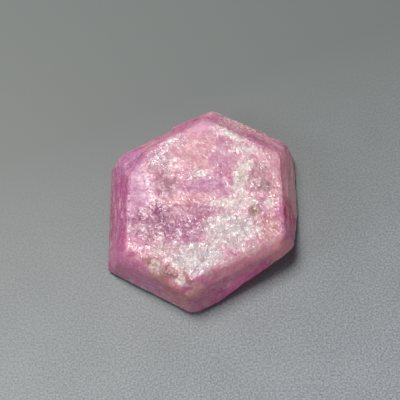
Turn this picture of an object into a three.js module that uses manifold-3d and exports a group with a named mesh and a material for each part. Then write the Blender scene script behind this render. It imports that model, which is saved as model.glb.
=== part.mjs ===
// A raw ruby crystal: one thick six-sided corundum tablet, grown as a single piece.
//
// Corundum grows as a hexagonal tablet. A large flat end face (the c-face) is ringed by bevels,
// the bevels by steep walls, and the underside is a flat parting face that the crystal rests on.
// Each of those faces is a plane, so the tablet is written as a list of planes, and its solid is
// what lies behind all of them. Terraces and growth layers are further solids joined on, and
// ledges, chips and nicks are small solids cut off, so the result is one closed body.
//
// Units are millimetres, +Z is up, and the origin is under the middle of the footprint.

import * as THREE from 'three';
import { ConvexGeometry } from 'three/addons/geometries/ConvexGeometry.js';
import { mergeVertices } from 'three/addons/utils/BufferGeometryUtils.js';
import Module from 'manifold-3d';

// ---------------------------------------------------------------- driving dimensions

const thickness = 6.2;        // highest terrace above the resting face
const cFaceLevel = 6.0;       // the c-face between the terraces
const bevelSlope = 61;        // usual lean of a bevel, degrees from level
const backWallSlope = 85;     // lean of the two back walls
const footSlope = 152;        // undercut around the resting face
const footRise = 0.6;         // height of the lower rim above the resting face
const ledgeDepth = 0.13;      // tread of a growth ledge across a wall
const ledgeTreadSlope = 30;   // lean of that tread
const terraceEdgeSlope = 48;  // lean of a terrace's riser
const farAway = 40;           // a distance well outside the crystal

// The six sides, going round from +X.
//   azimuth:   the way the bevel faces, degrees from +X towards +Y
//   edge:      distance from the axis to the edge of the c-face
//   bevel:     lean of the bevel
//   shoulder:  height where the bevel turns into the wall
//   wall:      lean of the wall
//   turn:      how far the wall is turned from the bevel, degrees anticlockwise from above
const right = { azimuth: 1, edge: 10.1, bevel: bevelSlope, shoulder: 4.5, wall: 69, turn: 0 };
const backRight = { azimuth: 60, edge: 10.4, bevel: 38.5, shoulder: 3.9, wall: backWallSlope, turn: 0 };
const backLeft = { azimuth: 120, edge: 9.5, bevel: 46, shoulder: 3.9, wall: backWallSlope, turn: 0 };
const left = { azimuth: 180, edge: 9.1, bevel: bevelSlope, shoulder: 3.3, wall: 67, turn: 0.7 };
const frontLeft = { azimuth: 237, edge: 10.9, bevel: 65, shoulder: 4.4, wall: 83, turn: 4.5 };
const frontRight = { azimuth: 299, edge: 9.2, bevel: 56, shoulder: 4.6, wall: 76, turn: 0 };
const sides = [right, backRight, backLeft, left, frontLeft, frontRight];

// ---------------------------------------------------------------- planes and solids

const wasm = await Module();
wasm.setup();

const radians = THREE.MathUtils.degToRad;

// A plane that faces `azimuth` and leans `slope` degrees from level (0 faces up, 90 is a wall,
// more than 90 hangs over). It passes `reach` from the line through `centre`, at height `level`.
function crystalFace(azimuth, slope, reach, level, centre = [0, 0]) {
  const a = radians(azimuth);
  const s = radians(slope);
  const normal = new THREE.Vector3(Math.cos(a) * Math.sin(s), Math.sin(a) * Math.sin(s), Math.cos(s));
  const x = centre[0] + Math.cos(a) * reach;
  const y = centre[1] + Math.sin(a) * reach;
  return new THREE.Plane().setFromNormalAndCoplanarPoint(normal, new THREE.Vector3(x, y, level));
}

function levelFace(height) {
  return crystalFace(0, 0, 0, height);
}

// The same plane, keeping its other side.
function otherSide(plane) {
  return plane.clone().negate();
}

// The corner where three planes meet, or null where two of them are parallel.
function corner(p, q, r) {
  const qr = new THREE.Vector3().crossVectors(q.normal, r.normal);
  const volume = p.normal.dot(qr);
  if (Math.abs(volume) < 1e-6) return null;
  const rp = new THREE.Vector3().crossVectors(r.normal, p.normal);
  const pq = new THREE.Vector3().crossVectors(p.normal, q.normal);
  qr.multiplyScalar(-p.constant);
  qr.addScaledVector(rp, -q.constant);
  qr.addScaledVector(pq, -r.constant);
  return qr.divideScalar(volume);
}

// Turns a closed three.js geometry into a solid that can be joined and cut.
function toSolid(geometry) {
  const bare = geometry.clone();
  bare.deleteAttribute('normal');
  bare.deleteAttribute('uv');
  const merged = mergeVertices(bare, 1e-4);
  return new wasm.Manifold(new wasm.Mesh({
    numProp: 3,
    vertProperties: new Float32Array(merged.attributes.position.array),
    triVerts: new Uint32Array(merged.index.array),
  }));
}

// The solid that lies behind every plane of a list.
function solidBehind(planes) {
  const corners = [];
  for (let i = 0; i < planes.length; i += 1) {
    for (let j = i + 1; j < planes.length; j += 1) {
      for (let k = j + 1; k < planes.length; k += 1) {
        const point = corner(planes[i], planes[j], planes[k]);
        if (point && planes.every((plane) => plane.distanceToPoint(point) < 1e-5)) {
          corners.push(point);
        }
      }
    }
  }
  return toSolid(new ConvexGeometry(corners));
}

// ---------------------------------------------------------------- the tablet

function shoulderReach(side) {
  return side.edge + (thickness - side.shoulder) / Math.tan(radians(side.bevel));
}

// How far the wall stands from the axis at a height.
function wallReach(side, height) {
  return shoulderReach(side) + (side.shoulder - height) / Math.tan(radians(side.wall));
}

function sidePlanes(side) {
  return [
    crystalFace(side.azimuth, side.bevel, side.edge, thickness),
    crystalFace(side.azimuth + side.turn, side.wall, wallReach(side, side.shoulder), side.shoulder),
    crystalFace(side.azimuth + side.turn, footSlope, wallReach(side, footRise), footRise),
  ];
}

// The corners of the hexagon that did not grow sharp, and one old break.
const cornerPlanes = [
  crystalFace(152, 32, 9.1, thickness),   // wide gentle face over the back left corner
  crystalFace(150, 74, 12.95, 3.4),       // its blunt foot
  crystalFace(274, 84, 12.68, 2.5),       // front corner
  crystalFace(322, 67, 11.0, thickness),  // right front corner
  crystalFace(32, 72, 15.0, 3.6),         // right back corner
  crystalFace(320, 143, 8.43, 0),         // break that slants up under the right front
];

// The tablet up to a level, with some of its sides swapped for others.
function tabletPlanes(top, ownSides) {
  return [levelFace(top), otherSide(levelFace(0)), ...cornerPlanes, ...ownSides.flatMap(sidePlanes)];
}

// A stretch of a side between two places along it, measured from the middle of its shoulder
// anticlockwise as seen from above. Its ends face `splay` degrees away from the side's own
// azimuth: 90 cuts square across, and less slants each end back as it rises out of the side.
function stretch(side, from, to, splay) {
  const a = radians(side.azimuth);
  const reach = shoulderReach(side);
  const place = (along) => [
    Math.cos(a) * reach - Math.sin(a) * along,
    Math.sin(a) * reach + Math.cos(a) * along,
  ];
  return [
    crystalFace(side.azimuth + splay, 90, 0, 0, place(to)),
    crystalFace(side.azimuth - splay, 90, 0, 0, place(from)),
  ];
}

// ---------------------------------------------------------------- what grew on

// A later layer over part of one side. It is the same tablet, with that side's numbers changed.
function growthLayer(side, changes, from, to) {
  const grown = sides.map((each) => (each === side ? { ...each, ...changes } : each));
  return solidBehind([...tabletPlanes(cFaceLevel, grown), ...stretch(side, from, to, 66)]);
}

const growthLayers = [
  growthLayer(backLeft, { azimuth: 116, edge: 9.4, bevel: 38.5 }, -farAway, -2.3),
  growthLayer(backRight, { bevel: 35.5 }, -farAway, 2.6),
];

// Terraces on the c-face. Each is a low plateau that runs out to the edge of the c-face, or to
// risers at the given azimuths and reaches from a point, with the rise given from the c-face.
const terraces = [
  {
    from: [-2.3, 3.0],
    rise: 0.2,
    risers: [[267, 3.9], [350, 7.3], [221, 4.5], [196, 4.7]],
  },
  {
    from: [6.6, 0.6],
    rise: 0.15,
    risers: [[176, 2.7], [238, 3.3], [284, 3.6]],
  },
  {
    from: [1.2, -7.4],
    rise: 0.13,
    risers: [[64, 3.1], [118, 2.6], [180, 3.2], [232, 2.6]],
  },
  {
    from: [2.6, 9.2],
    rise: 0.12,
    risers: [[196, 2.2], [258, 1.9], [309, 2.9]],
  },
];

function terrace({ from, rise, risers }) {
  const level = cFaceLevel + rise;
  const edges = risers.map(([azimuth, reach]) => (
    crystalFace(azimuth, terraceEdgeSlope, reach, level, from)
  ));
  return solidBehind([...tabletPlanes(level, sides), ...edges]);
}

// ---------------------------------------------------------------- what broke or stayed short

// A long ledge across a side: a riser that faces out, and a tread that runs from its foot.
// It takes away what stands outside the riser and above the tread.
function ledge(side, riser, tread, from, to) {
  return solidBehind([
    otherSide(riser),
    otherSide(tread),
    crystalFace(side.azimuth, 90, farAway, 0),
    levelFace(farAway),
    ...stretch(side, from, to, 90),
  ]);
}

// Narrow ledges that step each wall back towards the top.
function wallLedge(side, height) {
  const reach = wallReach(side, height) - ledgeDepth;
  const facing = side.azimuth + side.turn;
  const riser = crystalFace(facing, side.wall + 5, reach, height);
  const tread = crystalFace(facing, ledgeTreadSlope, reach, height);
  return ledge(side, riser, tread, -farAway, farAway);
}

// The back right bevel starts with a steep riser and runs out in a gentle tread.
const backTread = ledge(
  backRight,
  crystalFace(backRight.azimuth, 74, 10.5, thickness),
  crystalFace(backRight.azimuth, 32, 10.7, 5.5),
  -0.2,
  farAway,
);

// A chip: a shallow shell-shaped scoop, as a blow leaves in a brittle crystal. It is centred
// on `at`, and faces `azimuth` leaning `slope`. It is `half` long each way along the crystal,
// `rise` up and down it, and `depth` deep.
function chip({ at, azimuth, slope, half, rise, depth }) {
  const outward = crystalFace(azimuth, slope, 0, 0).normal;
  const along = new THREE.Vector3(-Math.sin(radians(azimuth)), Math.cos(radians(azimuth)), 0);
  const upward = new THREE.Vector3().crossVectors(outward, along);
  const middle = new THREE.Vector3(...at).addScaledVector(outward, depth);
  const spread = 2 / Math.sqrt(3);  // an ellipsoid cut at half its radius is this much narrower
  const scoop = new THREE.IcosahedronGeometry(1, 3);
  scoop.scale(half * spread, rise * spread, 2 * depth);
  scoop.applyMatrix4(new THREE.Matrix4().makeBasis(along, upward, outward).setPosition(middle));
  return toSolid(scoop);
}

const chips = [
  // bruised front left edge of the c-face
  { at: [-5.7, -9.3, 5.75], azimuth: 236, slope: 30, half: 1.5, rise: 0.9, depth: 0.4 },
  { at: [-3.6, -10.8, 5.4], azimuth: 246, slope: 45, half: 1.5, rise: 0.8, depth: 0.35 },
  { at: [-7.9, -8.0, 5.8], azimuth: 231, slope: 38, half: 1.0, rise: 0.5, depth: 0.25 },
  { at: [-1.5, -12.1, 5.3], azimuth: 268, slope: 50, half: 1.3, rise: 0.9, depth: 0.35 },
  // deep nick in the right bevel
  { at: [10.7, -2.0, 5.25], azimuth: 3, slope: 58, half: 1.4, rise: 0.7, depth: 0.4 },
  // flakes off the front right wall and its rim
  { at: [3.4, -10.1, 4.1], azimuth: 301, slope: 70, half: 0.9, rise: 0.4, depth: 0.16 },
  { at: [5.5, -9.6, 1.5], azimuth: 296, slope: 108, half: 0.6, rise: 0.35, depth: 0.2 },
  { at: [8.6, -7.6, 2.9], azimuth: 306, slope: 92, half: 0.9, rise: 0.5, depth: 0.2 },
  // nicks in the c-face
  { at: [-5.3, -1.6, 6.0], azimuth: 300, slope: 12, half: 0.7, rise: 0.35, depth: 0.2 },
  { at: [-1.4, -5.4, 6.0], azimuth: 60, slope: 8, half: 0.6, rise: 0.4, depth: 0.16 },
  { at: [6.4, -1.6, 6.15], azimuth: 20, slope: 8, half: 0.5, rise: 0.45, depth: 0.2 },
  // bruised left front corner
  { at: [-11.2, -7.8, 1.5], azimuth: 211, slope: 90, half: 0.7, rise: 0.9, depth: 0.25 },
];

// ---------------------------------------------------------------- the crystal

let crystalSolid = solidBehind(tabletPlanes(cFaceLevel, sides));
const joined = [...growthLayers, ...terraces.map(terrace)];
for (const solid of joined) crystalSolid = crystalSolid.add(solid);

const steppedWalls = [
  [right, 3.4], [right, 2.1], [left, 2.5], [left, 1.6], [frontLeft, 3.0], [frontLeft, 1.9],
  [frontRight, 3.3],
];
const cuts = [
  backTread,
  ...steppedWalls.map(([side, height]) => wallLedge(side, height)),
  ...chips.map(chip),
];
for (const cut of cuts) crystalSolid = crystalSolid.subtract(cut);

const { vertProperties, triVerts } = crystalSolid.getMesh();
const shape = new THREE.BufferGeometry();
shape.setAttribute('position', new THREE.BufferAttribute(new Float32Array(vertProperties), 3));
shape.setIndex(new THREE.BufferAttribute(new Uint32Array(triVerts), 1));
shape.computeBoundingBox();
const middle = shape.boundingBox.getCenter(new THREE.Vector3());
shape.translate(-middle.x, -middle.y, -shape.boundingBox.min.z);

const rubyFinish = new THREE.MeshStandardMaterial({ color: '#b5708f', roughness: 0.5, metalness: 0 });
const crystal = new THREE.Mesh(shape, rubyFinish);
crystal.name = 'ruby_crystal';

const group = new THREE.Group();
group.add(crystal);

export default group;
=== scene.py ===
# %% [markdown]
# # A raw ruby crystal
#
# Ruby is corundum coloured by chromium. This one grew as a thick six-sided tablet: a level end
# face that is frosted like sugar, a ring of bevels, and steep walls with fine growth lines. The
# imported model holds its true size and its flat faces. This script copies that model, covers the
# copy with the fine relief that a grown surface has, and gives it the finish of translucent
# pink corundum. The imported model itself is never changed.

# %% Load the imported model
import math

import bmesh
import bpy
from mathutils import Matrix, Vector


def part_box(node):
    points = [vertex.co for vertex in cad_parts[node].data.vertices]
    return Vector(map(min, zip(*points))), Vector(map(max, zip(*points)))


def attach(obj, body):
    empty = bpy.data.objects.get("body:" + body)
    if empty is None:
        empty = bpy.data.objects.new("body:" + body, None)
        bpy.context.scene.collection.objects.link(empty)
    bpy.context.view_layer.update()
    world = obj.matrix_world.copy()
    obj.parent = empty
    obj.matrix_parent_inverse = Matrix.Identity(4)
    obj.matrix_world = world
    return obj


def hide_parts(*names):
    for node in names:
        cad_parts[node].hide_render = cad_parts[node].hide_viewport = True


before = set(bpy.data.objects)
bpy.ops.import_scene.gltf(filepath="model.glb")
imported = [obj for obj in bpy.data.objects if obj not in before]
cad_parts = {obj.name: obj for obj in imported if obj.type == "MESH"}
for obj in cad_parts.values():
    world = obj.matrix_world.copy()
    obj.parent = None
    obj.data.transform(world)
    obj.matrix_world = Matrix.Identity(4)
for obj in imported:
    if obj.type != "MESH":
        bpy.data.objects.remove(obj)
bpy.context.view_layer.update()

MM = 0.001                      # metres in a millimetre
low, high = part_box("ruby_crystal")
size = (high - low) / MM
print(f"packed crystal: {size.x:.1f} x {size.y:.1f} x {size.z:.1f} mm")

# %% [markdown]
# ## Two small helpers
#
# Colours are easiest to choose as sRGB hex values, the way a colour picker shows them, but
# Blender's sockets hold linear light, so one function converts them. Both the shapes and the
# finishes below are node trees, and a second function adds a node, sets it up and links it.

# %% Colour and node helpers
def linear(hex_colour):
    """An sRGB hex colour as linear red, green, blue and alpha."""
    srgb = [int(hex_colour[i:i + 2], 16) / 255 for i in (1, 3, 5)]
    return [c / 12.92 if c <= 0.04045 else ((c + 0.055) / 1.055) ** 2.4 for c in srgb] + [1.0]


def add(tree, kind, inputs=None, **settings):
    """Adds a node with its settings. `inputs` gives a value, a socket or a node for each input,
    by the input's name or by its number among those that show."""
    node = tree.nodes.new(kind)
    for name, value in settings.items():
        setattr(node, name, value)
    shown = [socket for socket in node.inputs if socket.enabled]
    for name, value in (inputs or {}).items():
        socket = shown[name] if isinstance(name, int) else next(s for s in shown if s.name == name)
        if isinstance(value, bpy.types.Node):
            value = next(output for output in value.outputs if output.enabled)
        if isinstance(value, bpy.types.NodeSocket):
            tree.links.new(value, socket)
        else:
            socket.default_value = value
    return node


print("a mid pink in linear light:", [round(c, 3) for c in linear("#cf94ab")])

# %% [markdown]
# ## The floor
#
# The crystal rests on a sheet of pale grey card. A sheet of card is a plane, but a plane of
# one flat colour looks unreal close up. Real card is pressed from pulp, which leaves a fine
# tooth and a faint cloudiness, so its finish mixes two greys by those two patterns. Painted
# shade comes on top: towards the back, and a little towards the left, the two greys fade into
# one darker plain grey, so the tooth shows most at the front.

# %% Grey card under the crystal
CARD_TOOTH = 0.24               # millimetres, the size of the card's tooth
CARD_CLOUDS = 0.12              # clouds per millimetre
# painted shade: the way across the card in which it is painted darker, and where that begins and
# is full
CARD_SHADE_WAY = (-0.4, 0.92, 0.0)   # the way that the two greys fade into one
CARD_SHADE_FADE = (-34.0, 18.0)       # millimetres that way, where they start to and where they have

def card_finish():
    """Matt grey card: pulp pressed between felts gives a soft, even, cool grey, and painted shade
    darkens it towards the back.
    """
    material = bpy.data.materials.new("grey_card")
    material.use_nodes = True
    tree = material.node_tree
    tree.nodes.clear()
    place = tree.nodes.new("ShaderNodeTexCoord").outputs["Object"]
    spot = add(tree, "ShaderNodeVectorMath", {0: place, "Scale": 1 / MM}, operation="SCALE")
    tooth = add(
        tree, "ShaderNodeTexNoise", {"Vector": spot, "Scale": 1 / CARD_TOOTH, "Detail": 1.0},
    )
    cloud = add(
        tree, "ShaderNodeTexNoise", {"Vector": spot, "Scale": CARD_CLOUDS, "Detail": 2.0},
    )
    both = add(tree, "ShaderNodeMath", {0: cloud, 1: 0.2, 2: tooth}, operation="MULTIPLY_ADD")
    share = add(tree, "ShaderNodeMapRange", {"Value": both, "From Min": 0.3, "From Max": 0.9})
    pulp = add(
        tree, "ShaderNodeMix", {"Factor": share, "A": linear("#6f767f"), "B": linear("#bbc2ca")},
        data_type="RGBA",
    )
    # painted shade: how far back and left a place lies sets how much of a darker plain grey is
    # mixed in
    shade_way = add(
        tree, "ShaderNodeVectorMath", {0: spot, 1: CARD_SHADE_WAY}, operation="DOT_PRODUCT",
    ).outputs["Value"]
    far_shade = add(
        tree, "ShaderNodeMapRange",
        {"Value": shade_way, "From Min": CARD_SHADE_FADE[0], "From Max": CARD_SHADE_FADE[1]},
    )
    colour = add(
        tree, "ShaderNodeMix", {"Factor": far_shade, "A": pulp, "B": linear("#7b8282")},
        data_type="RGBA",
    )
    bump = add(tree, "ShaderNodeBump", {"Height": tooth, "Strength": 0.15, "Distance": 0.02 * MM})
    shader = add(
        tree, "ShaderNodeBsdfPrincipled", {"Base Color": colour, "Normal": bump, "Roughness": 0.5},
    )
    add(tree, "ShaderNodeOutputMaterial", {"Surface": shader})
    return material


print("card finish: tooth of", CARD_TOOTH, "mm")

# %% [markdown]
# ## The sheet itself
#
# One square of four corners is enough, because nothing about the card needs depth. It is made
# far wider than any view, so that its edge never shows, and it is staged as the floor.

# %% Lay the card
CARD_WIDTH = 1.2                # metres

def make_card():
    half = CARD_WIDTH / 2
    mesh = bpy.data.meshes.new("grey_card")
    corners = [(-half, -half, 0), (half, -half, 0), (half, half, 0), (-half, half, 0)]
    mesh.from_pydata(corners, [], [(0, 1, 2, 3)])
    mesh.materials.append(card_finish())
    card = bpy.data.objects.new("grey_card", mesh)
    bpy.context.scene.collection.objects.link(card)
    return card


card = make_card()
print("card:", CARD_WIDTH, "m wide")

# %% [markdown]
# ## Light
#
# A small stone shows best under soft light. A softbox stands high at the back left: it gives
# the frost its glints, and a short soft shadow towards the front right. A panel far to
# the left keeps the left walls bright, a low white card at the front right opens the walls
# there, and a dim even sky stops the deepest shadow from going black.

# %% Softbox, two fills and a dim sky
def area_light(name, at, width, watts, colour):
    """A square soft light at a place in metres, aimed at the middle of the stone."""
    light = bpy.data.lights.new(name, "AREA")
    light.shape = "SQUARE"
    light.size = width
    light.energy = watts
    light.color = linear(colour)[:3]
    lamp = bpy.data.objects.new(name, light)
    lamp.location = at
    aim = Vector((0, 0, 3 * MM)) - Vector(at)
    lamp.rotation_euler = aim.to_track_quat("-Z", "Y").to_euler()
    bpy.context.scene.collection.objects.link(lamp)


area_light("softbox", (-0.172, 0.144, 0.556), 0.26, 2.95, "#fffaf4")
area_light("left_panel", (-0.50, -0.22, 0.34), 0.30, 0.84, "#f4f8ff")
area_light("right_card", (0.30, -0.34, 0.10), 0.30, 0.38, "#fff0ee")

sky = bpy.data.worlds.new("dim_sky")
sky.use_nodes = True
sky.node_tree.nodes.clear()
glow = add(sky.node_tree, "ShaderNodeBackground", {"Color": linear("#eef2f5"), "Strength": 0.08})
add(sky.node_tree, "ShaderNodeOutputWorld", {"Surface": glow})
bpy.context.scene.world = sky
bpy.context.scene.view_settings.view_transform = "Standard"

# %% [markdown]
# ## Camera
#
# The camera looks down at 62 degrees with the front corner of the hexagon towards it, from
# close by, through a 90 mm lens.

# %% Camera
CAMERA_TILT = math.radians(62)  # how far the camera looks down
CAMERA_DISTANCE = 127.7 * MM
CAMERA_TARGET = Vector((-0.45, 0.50, 3.0)) * MM

camera_data = bpy.data.cameras.new("camera")
camera_data.lens = 90           # millimetres, as is the sensor
camera_data.sensor_width = 36
camera_data.clip_start = 0.01   # metres
camera = bpy.data.objects.new("camera", camera_data)
away = Vector((0, -math.cos(CAMERA_TILT), math.sin(CAMERA_TILT)))
camera.location = CAMERA_TARGET + away * CAMERA_DISTANCE
camera.rotation_euler = (math.pi / 2 - CAMERA_TILT, 0, 0)
bpy.context.scene.collection.objects.link(camera)
bpy.context.scene.camera = camera
print("camera at", [round(c / MM, 1) for c in camera.location], "mm")

# %% [markdown]
# ## A copy of the crystal to work on
#
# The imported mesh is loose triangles, so a copy of it is merged into one closed skin first.
# The copy is worked in millimetres, one Blender unit for each: voxel and noise sizes then
# read as the real sizes they are. It goes back to metres when the shape is finished.

# %% Merge a copy, in millimetres
WELD = 0.001                    # millimetres, corners closer than this are one corner

def merged_copy(node, name):
    shape = bmesh.new()
    shape.from_mesh(node.data)
    shape.transform(Matrix.Scale(1 / MM, 4))
    bmesh.ops.remove_doubles(shape, verts=shape.verts, dist=WELD)
    mesh = bpy.data.meshes.new(name)
    shape.to_mesh(mesh)
    shape.free()
    copy = bpy.data.objects.new(name, mesh)
    bpy.context.scene.collection.objects.link(copy)
    return copy


ruby = merged_copy(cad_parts["ruby_crystal"], "raw_ruby")
print("merged copy:", len(ruby.data.vertices), "corners,", len(ruby.data.polygons), "triangles")

# %% [markdown]
# ## The skin that carries the relief
#
# Fine relief needs small even faces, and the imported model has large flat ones. A voxel remesh
# rebuilds the closed skin from cubes of one size. A few rounds of smoothing then take the
# keenness off the edges, as handling does to a loose stone. The faces stay flat-shaded: at
# this size each one is a speck, and specks with hard borders are what frost is made of.

# %% Even skin with worn edges
VOXEL = 0.12                    # millimetres between points of the skin
WEAR_ROUNDS = 12                # more rounds give rounder edges

def voxel_skin(piece, name):
    remesh = piece.modifiers.new(name, "REMESH")
    remesh.mode = "VOXEL"
    remesh.voxel_size = VOXEL
    remesh.use_smooth_shade = False


voxel_skin(ruby, "even_skin")
wear = ruby.modifiers.new("worn_edges", "SMOOTH")
wear.factor = 0.5
wear.iterations = WEAR_ROUNDS
print("skin: voxels of", VOXEL, "mm, worn", WEAR_ROUNDS, "rounds")

# %% [markdown]
# ## Patterns that shape and colour share
#
# Relief and colour have to agree: where the surface is rough, it is also pale. So the patterns
# are functions that work in a shape tree and in a material alike. The first is soft bumps,
# which is noise spread evenly about zero.
#
# The second is flakes. Corundum parts in thin flat flakes, each level in itself, but leaning
# its own way. A Voronoi pattern cuts a surface into such cells and gives every cell a random
# colour, and those three random numbers serve as the two leans and the height of a flake.

# %% Soft bumps and flakes
def bumps(tree, place, feature, detail=2.0, roughness=0.5):
    """A soft pattern from about -1 to 1, with bumps about `feature` millimetres across."""
    noise = add(
        tree, "ShaderNodeTexNoise",
        {"Vector": place, "Scale": 1 / feature, "Detail": detail, "Roughness": roughness},
    )
    return add(
        tree, "ShaderNodeMapRange",
        {"Value": noise, "From Min": 0.25, "From Max": 0.75, "To Min": -1.0, "To Max": 1.0},
        clamp=False,
    )


def flakes(tree, place, width):
    """Cells of a flaky surface: each one's random numbers from -0.5 to 0.5, and the way from
    its middle in cell widths."""
    scaled = add(tree, "ShaderNodeVectorMath", {0: place, "Scale": 1 / width}, operation="SCALE")
    cells = add(tree, "ShaderNodeTexVoronoi", {"Vector": scaled, "Scale": 1.0, "Randomness": 1.0})
    own = add(
        tree, "ShaderNodeVectorMath", {0: cells.outputs["Color"], 1: (0.5, 0.5, 0.5)},
        operation="SUBTRACT",
    )
    inside = add(
        tree, "ShaderNodeVectorMath", {0: scaled, 1: cells.outputs["Position"]},
        operation="SUBTRACT",
    )
    return own, inside


print("patterns ready: bumps and flakes")

# %% [markdown]
# ## Ragged borders
#
# Nothing on a grown surface has a ruled border. Drawing a pattern at a place that has been
# pushed about by soft noise frays every border in it, at the cost of one noise.

# %% Push a place about
def pushed(tree, place, feature, most):
    """A place pushed about by up to half of `most` millimetres, so that nothing drawn with it
    has a ruled border."""
    drift = add(
        tree, "ShaderNodeTexNoise", {"Vector": place, "Scale": 1 / feature, "Detail": 3.0},
    ).outputs["Color"]
    from_middle = add(
        tree, "ShaderNodeVectorMath", {0: drift, 1: (0.5, 0.5, 0.5)}, operation="SUBTRACT",
    )
    return add(
        tree, "ShaderNodeVectorMath", {0: from_middle, 1: (most, most, most), 2: place},
        operation="MULTIPLY_ADD",
    )


print("patterns ready: pushed places")

# %% [markdown]
# ## Zones
#
# A natural crystal is not one pink. Chromium came and went while it grew, which left violet,
# salmon and magenta stretches, and the end face is crusted white where the last growth was
# fast. Those stretches belong to certain places on this stone, so they are listed by place.
#
# Each zone has its middle, how far it reaches each way (millimetres), its turn (degrees), its
# colour, how strongly that shows, and how frosted the surface is (0 smooth, 1 sugary). Later
# zones lie over earlier ones.

# %% Zones of the end face
END_FACE_ZONES = [
    # smooth violet and pink
    ((-8.5, 0.0, 6), (2.2, 6.6, 1.0), 0, "#c47cac", 0.9, 0.25),
    ((-0.3, 9.6, 6), (3.4, 1.9, 1.0), 10, "#e0a0c4", 0.8, 0.25),
    ((-0.8, 5.8, 6), (4.2, 3.8, 1.0), 0, "#e6abb9", 0.8, 0.35),
    ((2.4, 5.3, 6), (2.1, 2.3, 1.0), 0, "#d394b6", 0.8, 0.35),
    ((0.4, 0.6, 6), (3.2, 2.1, 1.0), 0, "#c884b0", 0.8, 0.35),
    ((-4.8, 0.6, 6), (1.7, 2.2, 1.0), 0, "#a2627f", 0.75, 0.35),
    ((-7.0, 1.6, 6), (0.9, 3.4, 1.0), 24, "#d096b6", 0.7, 0.35),
    # salmon above the step, deep rose below it
    ((-1.5, -1.0, 6), (4.6, 1.1, 1.0), 4, "#e2a0ae", 0.8, 0.4),
    ((-2.4, -3.0, 6), (4.9, 1.9, 1.0), 4, "#ba6c94", 0.85, 0.35),
    ((-5.4, -2.4, 6), (0.9, 2.0, 1.0), 40, "#a65c8a", 0.65, 0.5),
    ((-6.4, -4.4, 6), (3.6, 2.6, 1.0), 0, "#a25a82", 0.85, 0.4),
    ((-2.2, -5.6, 6), (3.2, 2.4, 1.0), 0, "#b87aa0", 0.8, 0.65),
    # salmon and dusty rose at the right
    ((7.8, -4.6, 6), (2.2, 2.1, 1.0), 0, "#d6989e", 0.8, 0.5),
    ((6.6, 2.2, 6), (2.1, 2.7, 1.0), 0, "#c89ca6", 0.8, 0.6),
    ((7.7, 0.7, 6), (1.2, 1.0, 1.0), 0, "#b08892", 0.8, 0.5),
    # white crusts at the back
    ((-5.7, 4.7, 6), (1.8, 2.2, 1.0), -20, "#ccaabe", 0.8, 0.65),
    ((-3.9, 7.2, 6), (2.3, 1.3, 1.0), 28, "#e8c8d6", 0.7, 0.7),
    ((3.4, 8.5, 6), (2.9, 1.0, 1.0), -20, "#f8e6e8", 0.85, 1.0),
    ((5.0, 6.4, 6), (2.2, 1.0, 1.0), -25, "#efdce0", 0.8, 0.9),
    # white crusts in the middle and at the right
    ((-0.8, 2.6, 6), (1.2, 0.6, 1.0), 0, "#ecdadd", 0.8, 0.9),
    ((5.2, 3.6, 6), (1.6, 1.0, 1.0), 25, "#fbeeee", 0.9, 1.0),
    ((4.5, 1.2, 6), (1.2, 2.8, 1.0), 0, "#f4e8e8", 0.85, 1.0),
    ((3.6, -1.6, 6), (3.8, 1.1, 1.0), 0, "#f0e0e0", 0.85, 0.9),
    ((8.1, -1.6, 6), (1.0, 0.8, 1.0), 0, "#f0e0e0", 0.85, 1.0),
    # white crusts at the front
    ((3.4, -5.2, 6), (4.0, 3.0, 1.0), 10, "#e2d8dc", 0.85, 0.9),
    ((-0.6, -9.0, 6), (3.8, 2.6, 1.0), 10, "#e4dade", 0.9, 1.0),
    ((-4.6, -8.0, 6), (1.8, 1.4, 1.0), 0, "#dcbcc3", 0.8, 0.9),
    # brown stain beside the nick
    ((6.1, -2.6, 6), (1.0, 0.9, 1.0), 0, "#a58a7a", 0.8, 0.5),
]
print("zones on the end face:", len(END_FACE_ZONES))
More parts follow.
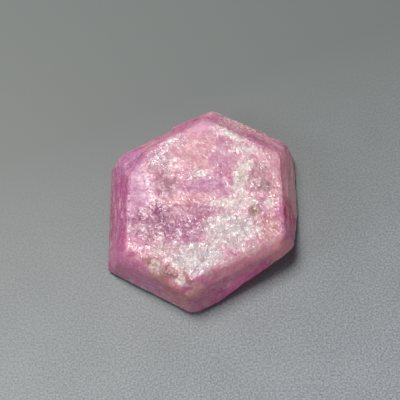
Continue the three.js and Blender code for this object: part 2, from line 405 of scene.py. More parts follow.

# %% [markdown]
# ## Zones of the walls
#
# The walls are smoother and deeper in colour than the end face, because nothing on them
# scatters the light back before it has gone through some ruby. The left wall has a bright
# inner strip and a duller outer band. The bruised front left edge is cream and brown, with two
# white flecks that are partly painted glints, and a pale strip along its foot is a painted
# highlight. The front right bevel is salmon over a deep magenta wall, and the back right ledge
# is flaky. The pink of the front right wall is brightened into a painted glow, for light that
# passes through the stone, and the right wall is brightened as painted light from the right.

# %% Zones of the walls
WALL_ZONES = [
    # left
    ((-12.2, -1.5, 1.6), (1.2, 9.5, 3.4), 0, "#9e5270", 0.85, 0.2),
    ((-10.6, -1.0, 4.4), (1.5, 9.5, 3.4), 0, "#b8448c", 0.9, 0.0),
    ((-9.5, 5.0, 5.2), (2.6, 2.6, 2.0), 60, "#c884b8", 0.8, 0.1),
    # front left, with its bruised edge
    ((-10.6, -9.3, 2.0), (2.0, 2.0, 2.4), 0, "#b46c86", 0.8, 0.15),
    ((-8.0, -10.2, 3.6), (3.8, 1.8, 3.2), -30, "#d080a6", 0.85, 0.0),
    # painted highlight: a pale strip along the foot of the front left wall
    ((-7.0, -11.6, 0.4), (6.5, 1.3, 1.0), -27, "#ecb8c0", 0.8, 0.4),
    ((-4.2, -10.9, 5.7), (4.6, 1.2, 1.1), -30, "#ba8a86", 0.85, 0.8),
    ((-5.6, -11.4, 4.8), (1.6, 1.0, 1.2), -30, "#b48272", 0.8, 0.2),
    ((-3.4, -12.9, 3.4), (2.8, 1.6, 2.6), -30, "#cc807e", 0.85, 0.15),
    # partly pale broken flakes and partly painted glints: two small white flecks on the chipped
    # edge
    ((-2.9, -12.0, 5.5), (0.8, 0.6, 0.7), 0, "#fff4ec", 0.95, 1.0),
    ((-6.0, -9.9, 5.8), (0.8, 0.6, 0.7), 0, "#fce4dc", 0.95, 1.0),
    ((-0.4, -13.0, 5.0), (2.0, 1.0, 1.3), 20, "#e8b0a4", 0.75, 0.3),
    # front right
    ((6.0, -9.2, 5.2), (7.0, 1.7, 1.7), 29, "#e48ea8", 0.85, 0.1),
    ((5.2, -8.6, 6.0), (6.0, 0.9, 0.6), 29, "#ecc0c6", 0.8, 0.55),
    # painted glow: this wall's hot pink is partly its own colour and partly brightened to stand in
    # for light passing through the stone
    ((6.4, -10.6, 1.6), (6.4, 2.6, 2.6), 29, "#ff66ba", 0.95, 0.05),
    ((2.0, -12.6, 2.4), (1.7, 1.2, 2.4), 29, "#d03c94", 0.7, 0.05),
    ((7.0, -9.6, 2.6), (2.4, 1.4, 1.2), 29, "#cc3e90", 0.65, 0.05),
    ((3.0, -11.7, 3.0), (1.1, 1.0, 0.7), 29, "#ffb4d8", 0.6, 0.5),
    ((5.6, -10.2, 0.8), (0.7, 0.8, 0.6), 29, "#fff0f4", 0.9, 1.0),
    ((9.6, -7.3, 4.2), (2.4, 1.8, 2.4), 29, "#e6939f", 0.85, 0.25),
    # right, with the deep red nick
    # painted light: the right wall's pale pink is partly its own colour and partly brightened to
    # stand in for light from the right
    ((11.2, 3.0, 3.0), (2.6, 5.6, 5.0), 0, "#ffb6c6", 0.95, 0.05),
    ((9.8, 3.6, 5.3), (0.8, 3.2, 0.9), 0, "#b8548a", 0.5, 0.1),
    ((8.9, 2.6, 6.0), (1.0, 6.0, 0.6), 0, "#e2a8b4", 0.7, 0.5),
    ((10.7, -2.0, 4.0), (2.0, 2.2, 3.0), 0, "#c63a6e", 0.9, 0.15),
    # back right, a groove and the ledge outside it
    ((6.4, 9.6, 5.2), (6.0, 1.6, 2.4), -31, "#dc98b0", 0.7, 0.25),
    ((5.0, 11.2, 4.6), (5.0, 1.2, 2.0), -31, "#f0bcc6", 0.85, 0.8),
]
ZONES = END_FACE_ZONES + WALL_ZONES
print("zones on the walls:", len(WALL_ZONES))

# %% [markdown]
# ## Reading the zones
#
# A zone is an ellipsoid with a ragged border. The ragged border is what makes a painted patch
# look grown: the place is pushed about first, and the distance is roughened as well. The same
# reading gives a colour share in the finish, and the amount of frost in the shape trees.

# %% How much of a zone there is at a place
BORDER_WAVE = 1.25              # millimetres, the size of the waves in a zone's border
BORDER_PUSH = 1.8               # millimetres, twice the most that a wave moves it
BORDER_CRUMB = 0.8              # millimetres, the size of the crumbs along it
CRUMB_SHARE = 0.22              # how far a crumb moves it, as a share of the zone's reach
ZONE_ENDS = 1.1                 # nothing shows past this share of the reach
ZONE_FULL = 0.55                # and all of it shows within this share

def zone_share(tree, place, ragged, middle, reach, turn, strength):
    """How much of a zone shows at a place: `strength` near its middle, none past its border."""
    inside = add(tree, "ShaderNodeVectorMath", {0: place, 1: middle}, operation="SUBTRACT")
    inside = add(
        tree, "ShaderNodeVectorRotate", {"Vector": inside, "Angle": -math.radians(turn)},
        rotation_type="Z_AXIS",
    )
    inside = add(tree, "ShaderNodeVectorMath", {0: inside, 1: reach}, operation="DIVIDE")
    away = add(tree, "ShaderNodeVectorMath", {0: inside}, operation="LENGTH").outputs["Value"]
    away = add(
        tree, "ShaderNodeMath", {0: ragged, 1: CRUMB_SHARE, 2: away}, operation="MULTIPLY_ADD",
    )
    return add(
        tree, "ShaderNodeMapRange",
        {"Value": away, "From Min": ZONE_ENDS, "From Max": ZONE_FULL, "To Max": strength},
        interpolation_type="SMOOTHSTEP",
    )


def frayed(tree, place):
    """What frays the border of a zone: its place pushed about, and the crumbs along it."""
    bent = pushed(tree, place, BORDER_WAVE, BORDER_PUSH)
    return bent, bumps(tree, place, BORDER_CRUMB, 4.0, 0.65)


print("a zone fades from", ZONE_FULL, "to", ZONE_ENDS, "of its reach")

# %% [markdown]
# ## Frost, and how far forward
#
# Two facts about a place come up again and again below. One is how frosted it is, which the
# zones say. The other is how far forward it lies, because the two front walls are more worn.

# %% How frosted a place is, and how far forward
USUAL_FROST = 0.5               # on the end face, between the zones
WALL_FROST = 0.1                # on the walls, between the zones
FRONT_BEGINS = -4.0             # millimetres from the middle, towards the front corner
FRONT_WALLS = -7.0              # from here on, all of it is front wall

def frost_at(tree, place, end_face):
    """How frosted the surface is at a place, from 0 to 1."""
    bent, ragged = frayed(tree, place)
    frost = add(tree, "ShaderNodeMix", {"Factor": end_face, "A": WALL_FROST, "B": USUAL_FROST})
    for middle, reach, turn, _, _, amount in ZONES:
        share = zone_share(tree, bent, ragged, middle, reach, turn, 1.0)
        frost = add(tree, "ShaderNodeMix", {"Factor": share, "A": frost, "B": amount})
    return frost


def front_at(tree, place):
    """How far forward a place lies: 0 behind the middle, 1 on the two front walls."""
    forward = add(tree, "ShaderNodeSeparateXYZ", {0: place}).outputs["Y"]
    return add(
        tree, "ShaderNodeMapRange",
        {"Value": forward, "From Min": FRONT_BEGINS, "From Max": FRONT_WALLS},
    )


print("usual frost:", USUAL_FROST, "on the end face,", WALL_FROST, "on the walls")

# %% [markdown]
# ## Trees with named sizes
#
# Two Geometry Nodes trees follow. Each is built the same way: named inputs for its sizes, then
# its nodes. At its end any copies are realized, which turns them into real faces: a copy that
# is only drawn would be lost when the result is kept as a plain mesh. The values go in by each
# input's identifier, which never changes, before Blender evaluates the piece for the first time.

# %% Start a tree, finish it, and run it on a piece
def new_tree(name, sizes):
    """A tree with geometry going in and out, and one more input for each size."""
    tree = bpy.data.node_groups.new(name, "GeometryNodeTree")
    tree.interface.new_socket("Geometry", in_out="INPUT", socket_type="NodeSocketGeometry")
    tree.interface.new_socket("Geometry", in_out="OUTPUT", socket_type="NodeSocketGeometry")
    for size_name, value in sizes.items():
        kind = "NodeSocketInt" if isinstance(value, int) else "NodeSocketFloat"
        tree.interface.new_socket(size_name, in_out="INPUT", socket_type=kind)
    return tree, tree.nodes.new("NodeGroupInput").outputs


def finish_tree(tree, geometry, material):
    """Ends a tree: copies become real faces, and every face gets the material."""
    real = add(tree, "GeometryNodeRealizeInstances", {"Geometry": geometry})
    surfaced = add(tree, "GeometryNodeSetMaterial", {"Geometry": real, "Material": material})
    add(tree, "NodeGroupOutput", {"Geometry": surfaced})


def run_tree(piece, tree, sizes):
    modifier = piece.modifiers.new(tree.name, "NODES")
    modifier.node_group = tree
    for socket in tree.interface.items_tree:
        if socket.name in sizes:
            modifier[socket.identifier] = sizes[socket.name]
    print(tree.name, "has", len(tree.nodes), "nodes and these sizes:", sizes)


print("trees can be started, finished and run")

# %% [markdown]
# ## Where the growth plates go
#
# The end face of corundum grows in thin six-sided plates. Where they stop, the face is left
# covered in low, slightly tilted plates, and those make it look frosted. Placing them by hand
# would be endless, so a tree scatters points over the level part of the skin, and crowds them
# where the zones say that the face is frosted.

# %% Sizes of the plates, and their points
PLATES = {
    "Plate width": 1.4,         # millimetres across the widest plates
    "Plate thickness": 0.05,    # millimetres, and a plate is 1.4 to 3 times as thick
    "Tilt": math.radians(10),   # the most that a plate leans across, and the most along
    "Plates per square mm": 2.5,
    "Seed": 7,
}
TOP_OF_BEVELS = 5.85            # millimetres above the base, where the end face begins
LEVEL_ENOUGH = 0.985            # the upward part of the facing, within 10 degrees of level
FIRST_PLATES = 0.45             # the frost at which plates begin

def plate_points(tree, source):
    place = tree.nodes.new("GeometryNodeInputPosition").outputs[0]
    facing = add(tree, "ShaderNodeSeparateXYZ", {0: tree.nodes.new("GeometryNodeInputNormal")})
    level = add(
        tree, "ShaderNodeMath", {0: facing.outputs["Z"], 1: LEVEL_ENOUGH},
        operation="GREATER_THAN",
    )
    height = add(tree, "ShaderNodeSeparateXYZ", {0: place}).outputs["Z"]
    high_up = add(
        tree, "ShaderNodeMath", {0: height, 1: TOP_OF_BEVELS}, operation="GREATER_THAN",
    )
    on_end_face = add(tree, "ShaderNodeMath", {0: level, 1: high_up}, operation="MULTIPLY")
    frost = frost_at(tree, place, 1.0)
    crowded = add(tree, "ShaderNodeMapRange", {"Value": frost, "From Min": FIRST_PLATES})
    density = add(
        tree, "ShaderNodeMath", {0: source["Plates per square mm"], 1: crowded},
        operation="MULTIPLY",
    )
    return add(
        tree, "GeometryNodeDistributePointsOnFaces",
        {"Mesh": source["Geometry"], "Selection": on_end_face, "Density": density,
         "Seed": source["Seed"]},
    )


print("widest plate:", PLATES["Plate width"], "mm")

# %% [markdown]
# ## How each plate lies
#
# The plate is a six-sided cone frustum: a flat hexagon with slanting sides, a dozen corners
# in all. Each copy takes one of the crystal's own six directions, give or take about eleven
# degrees, leans a little, and has its own width, depth and thickness. It is sunk into the face
# so that hardly more than its raised side stands out.

# %% Chances, turn and extent of a plate
PLATE_CHANCES = {
    # what varies: the least and the most
    "sixth of a turn": (0.0, 6.0),
    "twist": (-0.2, 0.2),
    "lean across": (-1.0, 1.0),
    "lean along": (-1.0, 1.0),
    "width": (0.25, 1.0),
    "depth": (0.45, 1.0),
    "thickness": (1.4, 3.0),
}

def plate_turn(tree, source, chance):
    sixth = add(tree, "ShaderNodeMath", {0: chance["sixth of a turn"]}, operation="FLOOR")
    turn = add(
        tree, "ShaderNodeMath", {0: sixth, 1: math.radians(60), 2: chance["twist"]},
        operation="MULTIPLY_ADD",
    )
    across, along = [
        add(tree, "ShaderNodeMath", {0: chance[way], 1: source["Tilt"]}, operation="MULTIPLY")
        for way in ("lean across", "lean along")
    ]
    return add(tree, "ShaderNodeCombineXYZ", {"X": across, "Y": along, "Z": turn})


def plate_extent(tree, source, chance):
    width = add(
        tree, "ShaderNodeMath", {0: source["Plate width"], 1: chance["width"]},
        operation="MULTIPLY",
    )
    depth = add(tree, "ShaderNodeMath", {0: width, 1: chance["depth"]}, operation="MULTIPLY")
    thick = add(
        tree, "ShaderNodeMath", {0: source["Plate thickness"], 1: chance["thickness"]},
        operation="MULTIPLY",
    )
    return add(tree, "ShaderNodeCombineXYZ", {"X": width, "Y": depth, "Z": thick})


print("each plate varies in:", ", ".join(PLATE_CHANCES))

# %% [markdown]
# ## Plates on their points
#
# The tree draws each plate's chances, stands one plate on every point, and joins them all to
# the skin.

# %% The tree that scatters the plates
PLATE_TOP = 0.47                # radius of the top, where the bottom has a radius of 0.5
PLATE_SUNK = 0.95               # the share of a plate's thickness that lies below the face

def plate_tree(material):
    tree, source = new_tree("growth_plates", PLATES)
    chance = {}
    for seed, (name, (least, most)) in enumerate(PLATE_CHANCES.items()):
        chance[name] = add(
            tree, "FunctionNodeRandomValue", {"Min": least, "Max": most, "Seed": seed},
            data_type="FLOAT",
        )
    plate = add(
        tree, "GeometryNodeMeshCone",
        {"Vertices": 6, "Radius Top": PLATE_TOP, "Radius Bottom": 0.5, "Depth": 1.0},
    )
    sunk = add(
        tree, "GeometryNodeTransform", {"Geometry": plate, "Translation": (0, 0, -PLATE_SUNK)},
    )
    plates = add(
        tree, "GeometryNodeInstanceOnPoints",
        {"Points": plate_points(tree, source), "Instance": sunk,
         "Rotation": plate_turn(tree, source, chance),
         "Scale": plate_extent(tree, source, chance)},
    )
    joined = tree.nodes.new("GeometryNodeJoinGeometry")
    for geometry in (source["Geometry"], plates.outputs[0]):
        tree.links.new(geometry, joined.inputs[0])
    finish_tree(tree, joined, material)
    return tree


print("seed of every scatter:", PLATES["Seed"])

# %% [markdown]
# ## Which parts are which
#
# The relief differs from part to part: the end face is flaky, the walls are lined, the front
# shoulders are worn round, and the edges between them are bitten. A part is recognised by the
# way it faces and by its height. Facing is averaged with its neighbours first, so that a single
# rough speck does not count as a wall. Each pair of values below says where a mask is none and
# where it is full.

# %% Masks for the end face, the rounded parts and the edges
END_FACE_LEVEL = (0.88, 0.97)   # the upward part of the facing
END_FACE_HEIGHT = (5.4, 5.8)    # millimetres
ABOVE_RIM = (0.9, 1.8)          # millimetres, above the low rim that keeps its shape
SMOOTH_FROST = (0.6, 0.25)      # frost
EDGE_ROUNDS = 14                # rounds of averaging around a point
EDGE_ALIKE = (0.99, 0.93)       # how alike a point and those around it face

def end_face_at(tree, place, facing):
    height = add(tree, "ShaderNodeSeparateXYZ", {0: place}).outputs["Z"]
    upward = add(tree, "ShaderNodeSeparateXYZ", {0: facing}).outputs["Z"]
    level = add(
        tree, "ShaderNodeMapRange",
        {"Value": upward, "From Min": END_FACE_LEVEL[0], "From Max": END_FACE_LEVEL[1]},
    )
    above = add(
        tree, "ShaderNodeMapRange",
        {"Value": height, "From Min": END_FACE_HEIGHT[0], "From Max": END_FACE_HEIGHT[1]},
    )
    return add(tree, "ShaderNodeMath", {0: level, 1: above}, operation="MULTIPLY")


def roundness_at(tree, place, end_face, frost):
    """How far the shape is rounded off: smooth patches of the end face, and front shoulders."""
    height = add(tree, "ShaderNodeSeparateXYZ", {0: place}).outputs["Z"]
    off_rim = add(
        tree, "ShaderNodeMapRange",
        {"Value": height, "From Min": ABOVE_RIM[0], "From Max": ABOVE_RIM[1]},
    )
    shoulder = add(
        tree, "ShaderNodeMath", {0: front_at(tree, place), 1: off_rim}, operation="MULTIPLY",
    )
    smooth = add(
        tree, "ShaderNodeMapRange",
        {"Value": frost, "From Min": SMOOTH_FROST[0], "From Max": SMOOTH_FROST[1]},
    )
    return add(tree, "ShaderNodeMix", {"Factor": end_face, "A": shoulder, "B": smooth})


def edge_at(tree, normal):
    """1 along an edge, where a point faces another way than the points around it do."""
    around = add(
        tree, "GeometryNodeBlurAttribute", {"Value": normal, "Iterations": EDGE_ROUNDS},
        data_type="FLOAT_VECTOR",
    )
    alike = add(tree, "ShaderNodeVectorMath", {0: normal, 1: around}, operation="DOT_PRODUCT")
    alike = alike.outputs["Value"]
    return add(
        tree, "ShaderNodeMapRange",
        {"Value": alike, "From Min": EDGE_ALIKE[0], "From Max": EDGE_ALIKE[1]},
    )


print("the end face lies above", END_FACE_HEIGHT[0], "mm")

# %% [markdown]
# ## How high the relief stands
#
# Four things add up. A slow swell keeps the large faces from being dead flat. Flakes of two
# sizes break up the frosted parts. Growth lines run level round the walls, each a thin step
# left by one layer. And the edges are bitten, as brittle edges are.

# %% Sizes of the relief, and its parts
RELIEF = {
    "Swell height": 0.05,       # millimetres
    "Flake strength": 1.25,     # times the steps and leans below
    "Growth line height": 0.045,
    "Edge bite": 0.10,
}
SWELL = 3.2                     # millimetres across
FLAKES = (
    # width, step (both mm) and lean (degrees)
    (1.2, 0.04, 4),
    (0.5, 0.03, 8),
)

def flaky_height(tree, place):
    """The height of a flaky surface: each flake's own step, and its lean times the way across."""
    height = 0.0
    torn = pushed(tree, place, 0.7, 1.0)
    for width, step, lean in FLAKES:
        own, inside = flakes(tree, torn, width)
        slope = add(
            tree, "ShaderNodeVectorMath", {0: own, 1: (1.0, 1.0, 0.0)}, operation="MULTIPLY",
        )
        rise = add(
            tree, "ShaderNodeVectorMath", {0: slope, 1: inside}, operation="DOT_PRODUCT",
        ).outputs["Value"]
        steps = add(tree, "ShaderNodeSeparateXYZ", {0: own}).outputs["Z"]
        leaning = 2 * width * math.tan(math.radians(lean))
        height = add(
            tree, "ShaderNodeMath", {0: rise, 1: leaning, 2: height}, operation="MULTIPLY_ADD",
        )
        height = add(
            tree, "ShaderNodeMath", {0: steps, 1: 2 * step, 2: height}, operation="MULTIPLY_ADD",
        )
    return height


print("flakes of", " and ".join(str(width) for width, _, _ in FLAKES), "mm")

# %% [markdown]
# ## Growth lines and bitten edges
#
# A growth line is a bump squeezed flat: short up the wall and long along it, so that it runs
# level round the stone. The bite is soft crumbs that only sink, and only along an edge.

# %% Lines and bites
LINE_SPACING = 0.3              # millimetres up the wall
LINE_LENGTH = 4.0               # millimetres along it

def line_height(tree, place):
    """Growth lines: bumps squeezed up the wall and drawn out along it."""
    squeeze = (1 / LINE_LENGTH, 1 / LINE_LENGTH, 1 / LINE_SPACING)
    drawn_out = add(tree, "ShaderNodeVectorMath", {0: place, 1: squeeze}, operation="MULTIPLY")
    return bumps(tree, drawn_out, 1.0)


def bite_depth(tree, place, edge):
    crumbs = bumps(tree, place, 0.9, 3.0, 0.6)
    bitten = add(tree, "ShaderNodeMapRange", {"Value": crumbs, "From Min": -0.1, "From Max": 0.9})
    return add(tree, "ShaderNodeMath", {0: bitten, 1: edge}, operation="MULTIPLY")


print("relief sizes, mm:", RELIEF)

# %% [markdown]
# ## Round the smooth parts
#
# Handling wears the smooth parts rounder than the frosted ones. Moving each point towards the
# average place of its neighbours does the same, and leaves the rough parts alone.

# %% Round
FACING_ROUNDS = 10              # rounds of averaging over the way that a point faces
ROUNDING = 20                   # rounds of averaging on the rounded parts, about 0.5 mm of reach

def rounded_skin(tree, geometry):
    place = tree.nodes.new("GeometryNodeInputPosition").outputs[0]
    normal = tree.nodes.new("GeometryNodeInputNormal").outputs[0]
    facing, around = [
        add(
            tree, "GeometryNodeBlurAttribute", {"Value": value, "Iterations": rounds},
            data_type="FLOAT_VECTOR",
        )
        for value, rounds in ((normal, FACING_ROUNDS), (place, ROUNDING))
    ]
    end_face = end_face_at(tree, place, facing)
    roundness = roundness_at(tree, place, end_face, frost_at(tree, place, end_face))
    softened = add(
        tree, "ShaderNodeMix", {"Factor": roundness, "A": place, "B": around},
        data_type="VECTOR",
    )
    return add(tree, "GeometryNodeSetPosition", {"Geometry": geometry, "Position": softened})


print("rounded parts reach", ROUNDING, "rounds")

# %% [markdown]
# ## Add the heights up
#
# Each height is made on its own above and has one named size, so that each can be judged and
# changed alone. Here they are weighed and added. Nothing moves at the floor, so the resting
# face stays flat.

# %% Lift
FRONT_LINES = 0.2               # the share of the growth lines that the front walls keep
OFF_FLOOR = (0.05, 0.6)         # millimetres, where the lift begins and where it is full

def lift_height(tree, source, place, end_face, frost, edge):
    sugary = add(tree, "ShaderNodeMath", {0: frost, 1: 2.0}, operation="POWER")
    flaky = add(
        tree, "ShaderNodeMath", {0: flaky_height(tree, place), 1: sugary}, operation="MULTIPLY",
    )
    wall = add(tree, "ShaderNodeMath", {0: 1.0, 1: end_face}, operation="SUBTRACT")
    unworn = add(
        tree, "ShaderNodeMapRange",
        {"Value": front_at(tree, place), "To Min": 1.0, "To Max": FRONT_LINES},
    )
    lined = add(tree, "ShaderNodeMath", {0: wall, 1: unworn}, operation="MULTIPLY")
    lines = add(
        tree, "ShaderNodeMath", {0: line_height(tree, place), 1: lined}, operation="MULTIPLY",
    )
    bite = add(
        tree, "ShaderNodeMath", {0: bite_depth(tree, place, edge), 1: -1.0}, operation="MULTIPLY",
    )
    parts = {
        "Swell height": bumps(tree, place, SWELL, 1.0),
        "Flake strength": flaky,
        "Growth line height": lines,
        "Edge bite": bite,
    }
    lift = 0.0
    for name, part in parts.items():
        lift = add(
            tree, "ShaderNodeMath", {0: part, 1: source[name], 2: lift}, operation="MULTIPLY_ADD",
        )
    height = add(tree, "ShaderNodeSeparateXYZ", {0: place}).outputs["Z"]
    off_floor = add(
        tree, "ShaderNodeMapRange",
        {"Value": height, "From Min": OFF_FLOOR[0], "From Max": OFF_FLOOR[1]},
    )
    return add(tree, "ShaderNodeMath", {0: lift, 1: off_floor}, operation="MULTIPLY")


print("the lift is full from", OFF_FLOOR[1], "mm above the floor")

# %% [markdown]
# ## The relief tree
#
# The tree rounds, then lifts every point along the way it faces. It also stores how frosted
# each point is and how far it belongs to the end face, softened a little, so that the finish
# follows the shape.

# %% Round, lift and store
SOFTENING = {"end_face": 12, "frost": 3}    # rounds of averaging before a value is stored

def relief_tree(material):
    tree, source = new_tree("grown_relief", RELIEF)
    rounded = rounded_skin(tree, source["Geometry"])
    place = tree.nodes.new("GeometryNodeInputPosition").outputs[0]
    normal = tree.nodes.new("GeometryNodeInputNormal").outputs[0]
    facing = add(
        tree, "GeometryNodeBlurAttribute", {"Value": normal, "Iterations": FACING_ROUNDS},
        data_type="FLOAT_VECTOR",
    )
    end_face = end_face_at(tree, place, facing)
    frost = frost_at(tree, place, end_face)
    edge = edge_at(tree, normal)
    lift = lift_height(tree, source, place, end_face, frost, edge)
    offset = add(tree, "ShaderNodeVectorMath", {0: facing, "Scale": lift}, operation="SCALE")
    geometry = add(tree, "GeometryNodeSetPosition", {"Geometry": rounded, "Offset": offset})
    for name, value in {"end_face": end_face, "frost": frost}.items():
        soft = add(
            tree, "GeometryNodeBlurAttribute", {"Value": value, "Iterations": SOFTENING[name]},
            data_type="FLOAT",
        )
        geometry = add(
            tree, "GeometryNodeStoreNamedAttribute",
            {"Geometry": geometry, "Name": name, "Value": soft}, data_type="FLOAT",
        )
    finish_tree(tree, geometry, material)
    return tree


print("stored for the finish:", " and ".join(SOFTENING))

# %% [markdown]
# ## Broad colour of the ruby
#
# The finish is built up the way a painter would. First the broad colour: deeper pink on the
# walls, paler on the end face, each drifting between two tints, with the zones laid over it.

# %% Base colour and zones
WALL_TINTS = ("#c4659a", "#d98fa8")
END_FACE_TINTS = ("#d68fb3", "#e8b5c2")

def lay_over(tree, colour, tint, pattern, start, full, most, where=1.0):
    """Lays a tint over a colour. It begins where the pattern passes `start` and is at its
    `most` from `full` on. `where` limits it to a part of the stone."""
    share = add(
        tree, "ShaderNodeMapRange",
        {"Value": pattern, "From Min": start, "From Max": full, "To Max": most},
    )
    share = add(tree, "ShaderNodeMath", {0: share, 1: where}, operation="MULTIPLY")
    return add(
        tree, "ShaderNodeMix", {"Factor": share, "A": colour, "B": linear(tint)},
        data_type="RGBA",
    )


def broad_colour(tree, spot, end_face):
    cloud = bumps(tree, spot, 2.2, 3.0)
    walls, top = [
        lay_over(tree, linear(deeper), paler, cloud, -0.6, 0.6, 1.0)
        for deeper, paler in (WALL_TINTS, END_FACE_TINTS)
    ]
    colour = add(
        tree, "ShaderNodeMix", {"Factor": end_face, "A": walls, "B": top}, data_type="RGBA",
    )
    bent, ragged = frayed(tree, spot)
    for middle, reach, turn, tint, strength, _ in ZONES:
        share = zone_share(tree, bent, ragged, middle, reach, turn, strength)
        colour = add(
            tree, "ShaderNodeMix", {"Factor": share, "A": colour, "B": linear(tint)},
            data_type="RGBA",
        )
    return colour


print("broad colour:", WALL_TINTS, END_FACE_TINTS, "and", len(ZONES), "zones")

# %% [markdown]
# ## Marks on the walls
#
# The walls are marked in four ways. Growth lines run round the left, right and back walls as
# pale and dark streaks. The two front walls have lost most of theirs to wear, and are blotched
# with shallow flakes instead. A fine grain covers all of them, with a pale scuff here and there
# where the stone has been knocked.

# %% Streaks, blotches, grain and scuffs
STREAK_SPACING = 0.28           # millimetres up the wall
STREAK_LENGTH = 3.0             # millimetres along it
STREAKS_WORN = 0.8              # the share of them that the front walls have lost
BLOTCH = 1.1                    # millimetres
GRAIN = 0.22                    # millimetres, coarser than the real grain so that it shows
SCUFF = 0.35                    # millimetres

def mark_walls(tree, spot, colour, end_face):
    wall = add(tree, "ShaderNodeMath", {0: 1.0, 1: end_face}, operation="SUBTRACT")
    blotchy = add(
        tree, "ShaderNodeMath", {0: front_at(tree, spot), 1: wall}, operation="MULTIPLY",
    )
    streaky = add(
        tree, "ShaderNodeMath", {0: blotchy, 1: -STREAKS_WORN, 2: wall}, operation="MULTIPLY_ADD",
    )
    squeeze = (1 / STREAK_LENGTH, 1 / STREAK_LENGTH, 1 / STREAK_SPACING)
    bent = pushed(tree, spot, BORDER_WAVE, BORDER_PUSH)
    drawn_out = add(tree, "ShaderNodeVectorMath", {0: bent, 1: squeeze}, operation="MULTIPLY")
    streaks = bumps(tree, drawn_out, 1.0, 3.0, 0.6)
    colour = lay_over(tree, colour, "#fad4e0", streaks, 0.1, 0.8, 0.65, streaky)
    colour = lay_over(tree, colour, "#842a68", streaks, -0.1, -0.8, 0.65, streaky)
    blotches = bumps(tree, bent, BLOTCH, 4.0, 0.6)
    colour = lay_over(tree, colour, "#fcb0c6", blotches, 0.1, 0.8, 0.3, blotchy)
    colour = lay_over(tree, colour, "#b03c7c", blotches, -0.1, -0.8, 0.4, blotchy)
    grain = bumps(tree, spot, GRAIN, 2.0, 0.6)
    colour = lay_over(tree, colour, "#fbe0ea", grain, 0.2, 1.0, 0.45, wall)
    colour = lay_over(tree, colour, "#982e68", grain, -0.2, -1.0, 0.45, wall)
    scuffs = bumps(tree, spot, SCUFF, 3.0, 0.7)
    return lay_over(tree, colour, "#ffdce6", scuffs, 0.3, 0.8, 0.45, wall)


print("streaks every", STREAK_SPACING, "mm, blotches of", BLOTCH, "mm")

# %% [markdown]
# ## Frost
#
# Frost is flakes too small to model one by one. Each is a shade of its own, so three sizes of
# flake and a speckle are added up: their high values turn the pink to white, their low values
# to dark pits. Pits show most in middling frost: bare ruby has none, and thick frost hides them.

# %% Shades of the frost
FROST_FLAKES = (
    # width (mm) and weight
    (0.95, 0.6),
    (0.5, 0.85),
    (0.26, 1.2),
)
SPECKLE = 0.3                   # millimetres
SPECKLE_WEIGHT = 0.4

def frost_shades(tree, spot, torn, colour, frost):
    speckle = bumps(tree, spot, SPECKLE, 2.0, 0.6)
    shade = add(tree, "ShaderNodeMath", {0: speckle, 1: SPECKLE_WEIGHT}, operation="MULTIPLY")
    for width, weight in FROST_FLAKES:
        own, _ = flakes(tree, torn, width)
        lightness = add(tree, "ShaderNodeSeparateXYZ", {0: own}).outputs["X"]
        shade = add(
            tree, "ShaderNodeMath", {0: lightness, 1: weight, 2: shade}, operation="MULTIPLY_ADD",
        )
    bare = add(tree, "ShaderNodeMath", {0: 1.0, 1: frost}, operation="SUBTRACT")
    pitted = add(tree, "ShaderNodeMath", {0: bare, 1: frost}, operation="MULTIPLY")
    colour = lay_over(tree, colour, "#fbeaf0", shade, 0.1, 1.1, 0.85, frost)
    return lay_over(tree, colour, "#9a5078", shade, -0.1, -1.1, 1.2, pitted)


print("frost flakes, mm:", [width for width, _ in FROST_FLAKES])

# %% [markdown]
# ## Glints
#
# A frosted face sparkles because each tiny facet is a mirror that leans its own way, and only
# those that lean just right show the softbox. So the surface direction is tipped flake by
# flake, by coarse flakes and fine ones together: by a great deal in the frost, where few
# facets happen to line up and those few flash, and hardly at all on the smooth parts.

# %% Facets that lean
FACETS = (
    # width (mm) and share of the lean
    (0.6, 1.0),
    (0.22, 0.6),
)
LEAST_LEAN = 0.04               # on bare ruby, as a slope from one side to the other
MOST_LEAN = 0.6                 # the same in thick frost

def leaning_facets(tree, torn, frost):
    sugary = add(tree, "ShaderNodeMath", {0: frost, 1: 2.0}, operation="POWER")
    lean = add(
        tree, "ShaderNodeMapRange", {"Value": sugary, "To Min": LEAST_LEAN, "To Max": MOST_LEAN},
    )
    normal = tree.nodes.new("ShaderNodeNewGeometry").outputs["Normal"]
    for width, share in FACETS:
        own, _ = flakes(tree, torn, width)
        tilt = add(tree, "ShaderNodeMath", {0: lean, 1: share}, operation="MULTIPLY")
        tipped = add(tree, "ShaderNodeVectorMath", {0: own, "Scale": tilt}, operation="SCALE")
        normal = add(tree, "ShaderNodeVectorMath", {0: normal, 1: tipped}, operation="ADD")
    return add(tree, "ShaderNodeVectorMath", {0: normal}, operation="NORMALIZE")


steepest = MOST_LEAN / 2 * sum(share for _, share in FACETS)
print("facets lean up to", round(math.degrees(math.atan(steepest))), "degrees across in the frost")

# %% [markdown]
# ## The finish as a whole
#
# Corundum bends light strongly (its index is 1.77), so its facets flash. Raw ruby is clouded
# inside, and light that enters goes some way before it leaves again. Red goes furthest, which
# is why the shaded walls glow pink; on the front right and right walls the zones add painted
# light to that glow. Thick frost turns the light back at the surface, so the share that goes
# inside falls as the frost thickens.

# %% Raw corundum
INDEX = 1.77                    # corundum's refractive index
BARE_ROUGHNESS = 0.42           # satin, where there is no frost to sparkle
SPARKLING = (0.15, 0.5)         # the least and the most roughness in the frost
SATIN = 0.4                     # millimetres, the size of the patches between those two
REACH = (4.5, 1.1, 2.2)         # millimetres that red, green and blue go inside
GLOW = (0.6, 0.3)               # the share of light that goes inside, bare and in thick frost
TEAR = 0.77                     # millimetres, the size of the waves in a flake's border
TEAR_PUSH = 0.8                 # millimetres, twice the most that a wave moves it

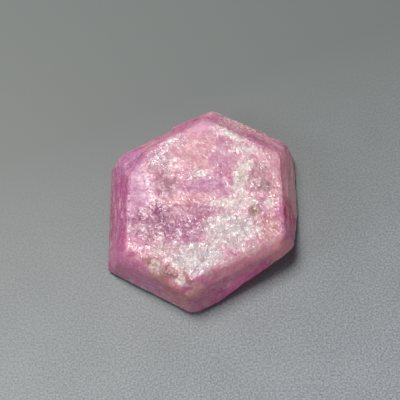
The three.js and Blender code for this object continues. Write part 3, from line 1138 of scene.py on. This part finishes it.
def ruby_finish():
    """Raw ruby: grown and never polished. It gives a satin, sugary pink with a glow inside."""
    material = bpy.data.materials.new("raw_corundum")
    material.use_nodes = True
    tree = material.node_tree
    tree.nodes.clear()
    place = tree.nodes.new("ShaderNodeTexCoord").outputs["Object"]
    spot = add(tree, "ShaderNodeVectorMath", {0: place, "Scale": 1 / MM}, operation="SCALE")
    end_face = add(tree, "ShaderNodeAttribute", attribute_name="end_face").outputs["Fac"]
    frost = add(tree, "ShaderNodeAttribute", attribute_name="frost").outputs["Fac"]
    torn = pushed(tree, spot, TEAR, TEAR_PUSH)
    colour = broad_colour(tree, spot, end_face)
    colour = mark_walls(tree, spot, colour, end_face)
    colour = frost_shades(tree, spot, torn, colour, frost)
    satin = bumps(tree, spot, SATIN, 3.0)
    sparkling = add(
        tree, "ShaderNodeMapRange",
        {"Value": satin, "From Min": -0.6, "From Max": 0.6, "To Min": SPARKLING[0],
         "To Max": SPARKLING[1]},
    )
    frosted = add(tree, "ShaderNodeMapRange", {"Value": frost, "From Min": 0.05, "From Max": 0.5})
    rough = add(tree, "ShaderNodeMix", {"Factor": frosted, "A": BARE_ROUGHNESS, "B": sparkling})
    glowing = add(
        tree, "ShaderNodeMapRange", {"Value": frost, "To Min": GLOW[0], "To Max": GLOW[1]},
    )
    shader = add(
        tree, "ShaderNodeBsdfPrincipled",
        {"Base Color": colour, "Roughness": rough, "IOR": INDEX,
         "Normal": leaning_facets(tree, torn, frost), "Subsurface Weight": glowing,
         "Subsurface Radius": REACH, "Subsurface Scale": MM},
    )
    add(tree, "ShaderNodeOutputMaterial", {"Surface": shader})
    print("raw corundum has", len(tree.nodes), "nodes")
    return material


corundum = ruby_finish()

# %% [markdown]
# ## Grow the surface
#
# The plates are laid over the skin, and a second voxel remesh fuses them with it into one
# closed surface, as they are one crystal. Then comes the relief. Last, a decimate modifier
# spares faces where they do nothing: nearly all of them go from the flat resting face.

# %% Plates, skin, relief
KEPT_SHARE = 0.8                # of the faces

run_tree(ruby, plate_tree(corundum), PLATES)
voxel_skin(ruby, "plates_grown_in")
run_tree(ruby, relief_tree(corundum), RELIEF)
fewer = ruby.modifiers.new("fewer_flat_faces", "DECIMATE")
fewer.ratio = KEPT_SHARE
print("modifiers:", [modifier.name for modifier in ruby.modifiers])

# %% [markdown]
# ## Down to a plain mesh
#
# The result of all the modifiers is kept as the ruby's own mesh, so that nothing is left to
# evaluate. The parts library wants a plain mesh with nothing left to evaluate. The modifiers
# go, and the mesh is scaled back from millimetres to metres. It has one material, the
# corundum.

# %% Keep the result
def plain_mesh(piece, material):
    graph = bpy.context.evaluated_depsgraph_get()
    made = bpy.data.meshes.new_from_object(piece.evaluated_get(graph))
    piece.modifiers.clear()
    made.transform(Matrix.Scale(MM, 4))
    made.materials.clear()
    made.materials.append(material)
    made.polygons.foreach_set("material_index", [0] * len(made.polygons))
    made.update()
    piece.data = made
    return made


made = plain_mesh(ruby, corundum)
made.calc_loop_triangles()
print("ruby:", len(made.vertices), "points and", len(made.loop_triangles), "triangles")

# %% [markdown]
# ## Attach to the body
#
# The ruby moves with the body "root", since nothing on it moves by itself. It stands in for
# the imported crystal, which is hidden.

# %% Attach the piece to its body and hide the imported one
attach(ruby, "root")
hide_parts("ruby_crystal")
